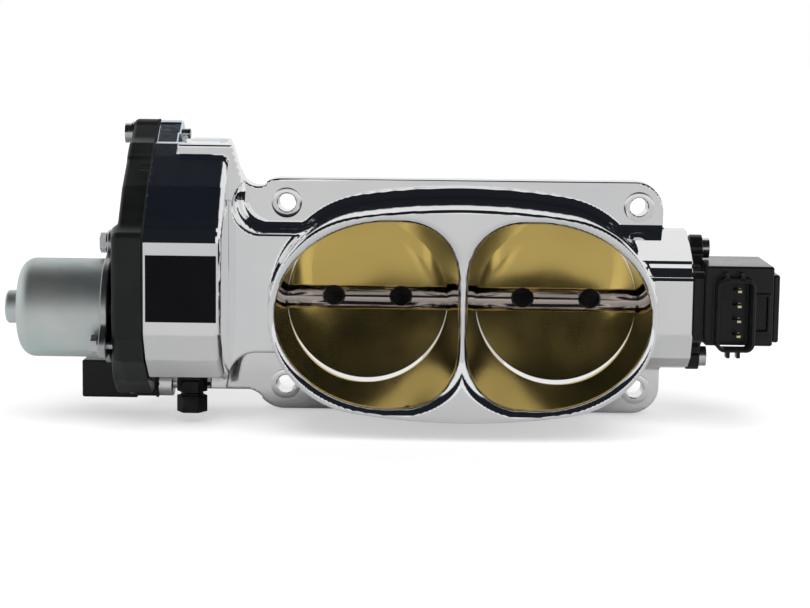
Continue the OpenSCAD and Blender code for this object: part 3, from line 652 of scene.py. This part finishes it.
POLISHED = metal("polished_aluminium", (0.86, 0.865, 0.875), (0.92, 0.92, 0.925), (0.02, 0.045), 30)
BRASS = metal("satin_brass", (0.74, 0.54, 0.16), (0.78, 0.57, 0.18), (0.17, 0.21), 14)
STEEL = metal("polished_steel", (0.44, 0.38, 0.34), (0.5, 0.44, 0.39), (0.12, 0.17), 40, (0.2, 1, 1))
ZINC = metal("zinc_plate", (0.66, 0.76, 0.75), (0.8, 0.82, 0.8), (0.5, 0.56), 40)
# Brushed finish with real roughness streaks; its darker blue-grey base colour is a painted reflection
# tone for the case faces that face forward and up.
BRUSHED_PAINTED_TINT = metal("brushed_aluminium_painted_tint", (0.62, 0.7, 0.78), (0.68, 0.76, 0.84), (0.1, 0.17), 60, (1, 6, 6))
TURNED = metal("turned_aluminium", (0.82, 0.82, 0.82), (0.86, 0.86, 0.86), (0.1, 0.14), 60)
BLACK_STEEL = metal("black_oxide", (0.015, 0.015, 0.016), (0.03, 0.03, 0.032), (0.35, 0.5), 200)
BLACK = plastic("black_nylon", (0.004, 0.005, 0.005), (0.008, 0.009, 0.009), (0.3, 0.4), gloss=0.3)
SCREW_ZINC = metal("screw_zinc", (0.5, 0.51, 0.53), (0.7, 0.71, 0.72), (0.2, 0.32), 120)
PLATE = metal("pressed_zinc", (0.5, 0.52, 0.52), (0.68, 0.69, 0.68), (0.3, 0.42), 60)
GOLD = metal("tinned_brass", (0.72, 0.62, 0.4), (0.85, 0.76, 0.52), (0.18, 0.28), 80)
BRONZE = metal("sintered_bronze", (0.45, 0.28, 0.14), (0.6, 0.4, 0.22), (0.4, 0.5), 150)
COPPER = metal("enamelled_copper", (0.45, 0.16, 0.05), (0.65, 0.28, 0.1), (0.25, 0.35), 200)
DARK_STEEL = metal("dark_steel", (0.2, 0.2, 0.21), (0.34, 0.34, 0.36), (0.3, 0.45), 120)
SENSOR_BLACK = plastic("glossy_nylon", (0.004, 0.005, 0.004), (0.006, 0.007, 0.006), (0.16, 0.22),
                       gloss=0.3, strength=0.1)
LABEL = plastic("gloss_black", (0.003, 0.003, 0.004), (0.004, 0.004, 0.006), (0.3, 0.34), 900,
                0.05, 0.08)
RUBBER = plastic("black_rubber", (0.012, 0.012, 0.012), (0.02, 0.02, 0.02), (0.7, 0.8))
ACETAL = plastic("acetal", (0.6, 0.57, 0.48), (0.7, 0.67, 0.58), (0.4, 0.5))
FERRITE = plastic("ferrite", (0.05, 0.05, 0.055), (0.08, 0.08, 0.085), (0.6, 0.7))
BOARD = plastic("circuit_board", (0.01, 0.1, 0.03), (0.015, 0.14, 0.05), (0.35, 0.45))
PHENOLIC = plastic("phenolic", (0.05, 0.03, 0.015), (0.08, 0.05, 0.03), (0.4, 0.5))


# ---------------------------------------------------------------- pieces
housing_piece = field_mesh("housing_casting", housing, (-116.2, -75, -46), (87.5, 0.2, 68.5), 0.75)
place(housing_piece, "housing", POLISHED, "throttle_housing", "throttle_housing")
# The forward and upward facing faces above the case front get the brushed finish with its painted
# blue-grey reflection tint.
brush_and_tint_faces(housing_piece, BRUSHED_PAINTED_TINT)
for name, node, field, low, high, step, material in (
    ("cover_moulding", "gear_cover", gear_cover, (-148, -74, -40), (-116.6, 0, 68.3), 0.6, BLACK),
    ("plate_pressed", "motor_plate", motor_plate, (-132.8, -74, -26), (-128.5, -20, 28), 0.5, PLATE),
    ("sensor_moulding", "sensor_housing", sensor_body, (86.9, -54.1, -26.3), (116.5, -1.5, 26.3),
     0.5, SENSOR_BLACK),
    ("sensor_lid", "sensor_back_cover", sensor_cap, (114.9, -44.1, -12.1), (119, -7.4, 13.6), 0.6,
     SENSOR_BLACK),
):
    place(field_mesh(name, field, low, high, step), "housing", material, node, node)

can = lathe("can_drawn", CAN_PROFILE + CAN_INSIDE, MOTOR_Y, MOTOR_Z, 96)
place(can, "housing", ZINC, "motor_can", "motor_can")

# Turned rings where the bolt heads sit.
for number, (hx, hz) in enumerate(BOLTS):
    ring = lathe("bolt_face_%d" % number, [(0, 3.85), (0.06, 3.9), (0.06, 5.7), (0, 5.9)], 0, 0, 64)
    turn = Matrix.Rotation(-math.pi / 2, 4, "Z")
    ring.data.transform(Matrix.Translation((hx * MM, FLANGE_FRONT * MM, hz * MM)) @ turn)
    place(ring, "housing", TURNED, "throttle_housing")

# The plates are hand polished, so their flats wave a little.
brass_tree = BRASS.node_tree
wave = noise(brass_tree, 24, 0.5)
bump(brass_tree, brass_tree.nodes["Principled BSDF"], wave, 1.0, 0.004)

CAD_PARTS = {
    BRASS: ("throttle_plate_left", "throttle_plate_right"),
    STEEL: ("throttle_shaft", "motor_shaft", "idler_pin"),
    BLACK_STEEL: ("plate_screws_left", "plate_screws_right", "stop_screw", "stop_locknut"),
    SCREW_ZINC: ("motor_plate_screws", "cover_screws", "sensor_screws"),
    LABEL: ("case_label",),
    GOLD: ("sensor_terminals", "motor_terminals", "commutator", "motor_pinion"),
    RUBBER: ("cover_gasket", "shaft_seals", "sensor_gasket"),
    BRONZE: ("shaft_bush", "motor_bearings"),
    DARK_STEEL: ("shaft_bearings", "return_spring", "gear_nut", "rotor_core"),
    ACETAL: ("throttle_gear", "idler_gear", "sensor_rotor"),
    FERRITE: ("motor_magnets", "motor_brushes"),
    COPPER: ("rotor_windings",),
    BOARD: ("sensor_board",),
    PHENOLIC: ("motor_brush_holder",),
}
BEVELLED = ("stop_screw", "stop_locknut", "motor_plate_screws", "cover_screws", "sensor_screws",
            "plate_screws_left", "plate_screws_right", "case_label")
for material, nodes in CAD_PARTS.items():
    for node in nodes:
        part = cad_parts[node]
        part.data.materials.clear()
        part.data.materials.append(material)
        if node in BEVELLED:
            edge = part.modifiers.new("edge", "BEVEL")
            edge.width = (0.1 if node == "case_label" else 0.25) * MM
            edge.segments = 2
            edge.limit_method = "ANGLE"
            edge.angle_limit = math.radians(35)


# ---------------------------------------------------------------- floor, light and camera
def world_light():
    """A pale studio with a dark ceiling panel, as polished metal shows it."""
    world = bpy.data.worlds.new("studio")
    bpy.context.scene.world = world
    world.use_nodes = True
    tree = world.node_tree
    links = tree.links
    coord = tree.nodes.new("ShaderNodeTexCoord")
    split = tree.nodes.new("ShaderNodeSeparateXYZ")
    links.new(coord.outputs["Generated"], split.inputs["Vector"])

    def math_node(kind, a, b=None):
        node = tree.nodes.new("ShaderNodeMath")
        node.operation = kind
        for socket, value in zip(node.inputs, (a, b)):
            if value is None:
                continue
            if isinstance(value, (int, float)):
                socket.default_value = value
            else:
                links.new(value, socket)
        return node.outputs["Value"]

    def above(value, edge, soft):
        node = tree.nodes.new("ShaderNodeMapRange")
        node.interpolation_type = "SMOOTHSTEP"
        node.inputs["From Min"].default_value = edge - soft
        node.inputs["From Max"].default_value = edge + soft
        links.new(value, node.inputs["Value"])
        return node.outputs["Result"]

    x, y, z = split.outputs["X"], split.outputs["Y"], split.outputs["Z"]
    pitch = math_node("ARCTAN2", z, math_node("MULTIPLY", y, -1))
    # The panel runs from above the camera over the object to behind the zenith.
    low_edge = above(pitch, math.radians(9), 0.02)
    high_edge = math_node("SUBTRACT", 1, above(pitch, math.radians(112), 0.03))
    side = math_node("SUBTRACT", 1, above(math_node("ABSOLUTE", x), 0.72, 0.04))
    panel = math_node("MULTIPLY", math_node("MULTIPLY", low_edge, high_edge), side)
    mix = tree.nodes.new("ShaderNodeMix")
    mix.data_type = "RGBA"
    links.new(panel, mix.inputs["Factor"])
    mix.inputs["A"].default_value = (0.85, 0.85, 0.85, 1)
    mix.inputs["B"].default_value = (0.012, 0.014, 0.018, 1)
    background = tree.nodes["Background"]
    links.new(mix.outputs["Result"], background.inputs["Color"])
    seen = tree.nodes.new("ShaderNodeBackground")
    seen.inputs["Color"].default_value = (1, 1, 1, 1)
    path = tree.nodes.new("ShaderNodeLightPath")
    choose = tree.nodes.new("ShaderNodeMixShader")
    links.new(path.outputs["Is Camera Ray"], choose.inputs["Fac"])
    links.new(background.outputs["Background"], choose.inputs[1])
    links.new(seen.outputs["Background"], choose.inputs[2])
    links.new(choose.outputs["Shader"], tree.nodes["World Output"].inputs["Surface"])


def camera():
    """The viewing angle: level with the intake, a little above, and rolled slightly."""
    target = Vector((-21.86, -20.0, -2.4))
    distance, focal_px, picture_width = 800.0, 2064.0, 810
    turn, pitch, roll = math.radians(0.92), math.radians(7.3), math.radians(0.7)
    forward = Vector((-math.sin(turn) * math.cos(pitch), math.cos(turn) * math.cos(pitch),
                      -math.sin(pitch)))
    right = Vector((math.cos(turn), math.sin(turn), 0))
    up = right.cross(forward)
    axis_x = math.cos(roll) * right + math.sin(roll) * up
    axis_y = math.cos(roll) * up - math.sin(roll) * right
    data = bpy.data.cameras.new("camera")
    data.sensor_width = 36
    data.lens = focal_px / picture_width * data.sensor_width
    data.clip_start, data.clip_end = 0.01, 50
    obj = bpy.data.objects.new("camera", data)
    bpy.context.scene.collection.objects.link(obj)
    basis = Matrix((axis_x, axis_y, -forward)).transposed().to_4x4()
    obj.matrix_world = Matrix.Translation((target - forward * distance) * MM) @ basis
    bpy.context.scene.camera = obj


def floor():
    mesh = bpy.data.meshes.new("floor")
    half, level = 12.0, FLOOR_Z * MM
    mesh.from_pydata([(-half, -half, level), (half, -half, level), (half, half, level),
                      (-half, half, level)], [], [(0, 1, 2, 3)])
    obj = bpy.data.objects.new("floor", mesh)
    bpy.context.scene.collection.objects.link(obj)
    mat, tree, shader = new_material("floor_white")
    shader.inputs["Base Color"].default_value = (0.6, 0.6, 0.6, 1)
    shader.inputs["Roughness"].default_value = 1.0
    shader.inputs["Specular IOR Level"].default_value = 0.0
    path = tree.nodes.new("ShaderNodeLightPath")
    glow = tree.nodes.new("ShaderNodeMath")
    glow.operation = "MULTIPLY"
    glow.inputs[1].default_value = 0.5
    tree.links.new(path.outputs["Is Camera Ray"], glow.inputs[0])
    tree.links.new(glow.outputs["Value"], shader.inputs["Emission Strength"])
    shader.inputs["Emission Color"].default_value = (1, 1, 1, 1)
    mesh.materials.append(mat)
    obj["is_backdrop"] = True


def key_light():
    """Broad light from above the camera; polished metal doesn't show it."""
    data = bpy.data.lights.new("key", "SUN")
    data.energy = 2.6
    data.angle = math.radians(50)
    obj = bpy.data.objects.new("key", data)
    bpy.context.scene.collection.objects.link(obj)
    obj.rotation_euler = (math.radians(38), 0, math.radians(8))
    obj.visible_glossy = False


world_light()
key_light()
camera()
floor()
view_settings = bpy.context.scene.view_settings
view_settings.view_transform = "Standard"

low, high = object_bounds()
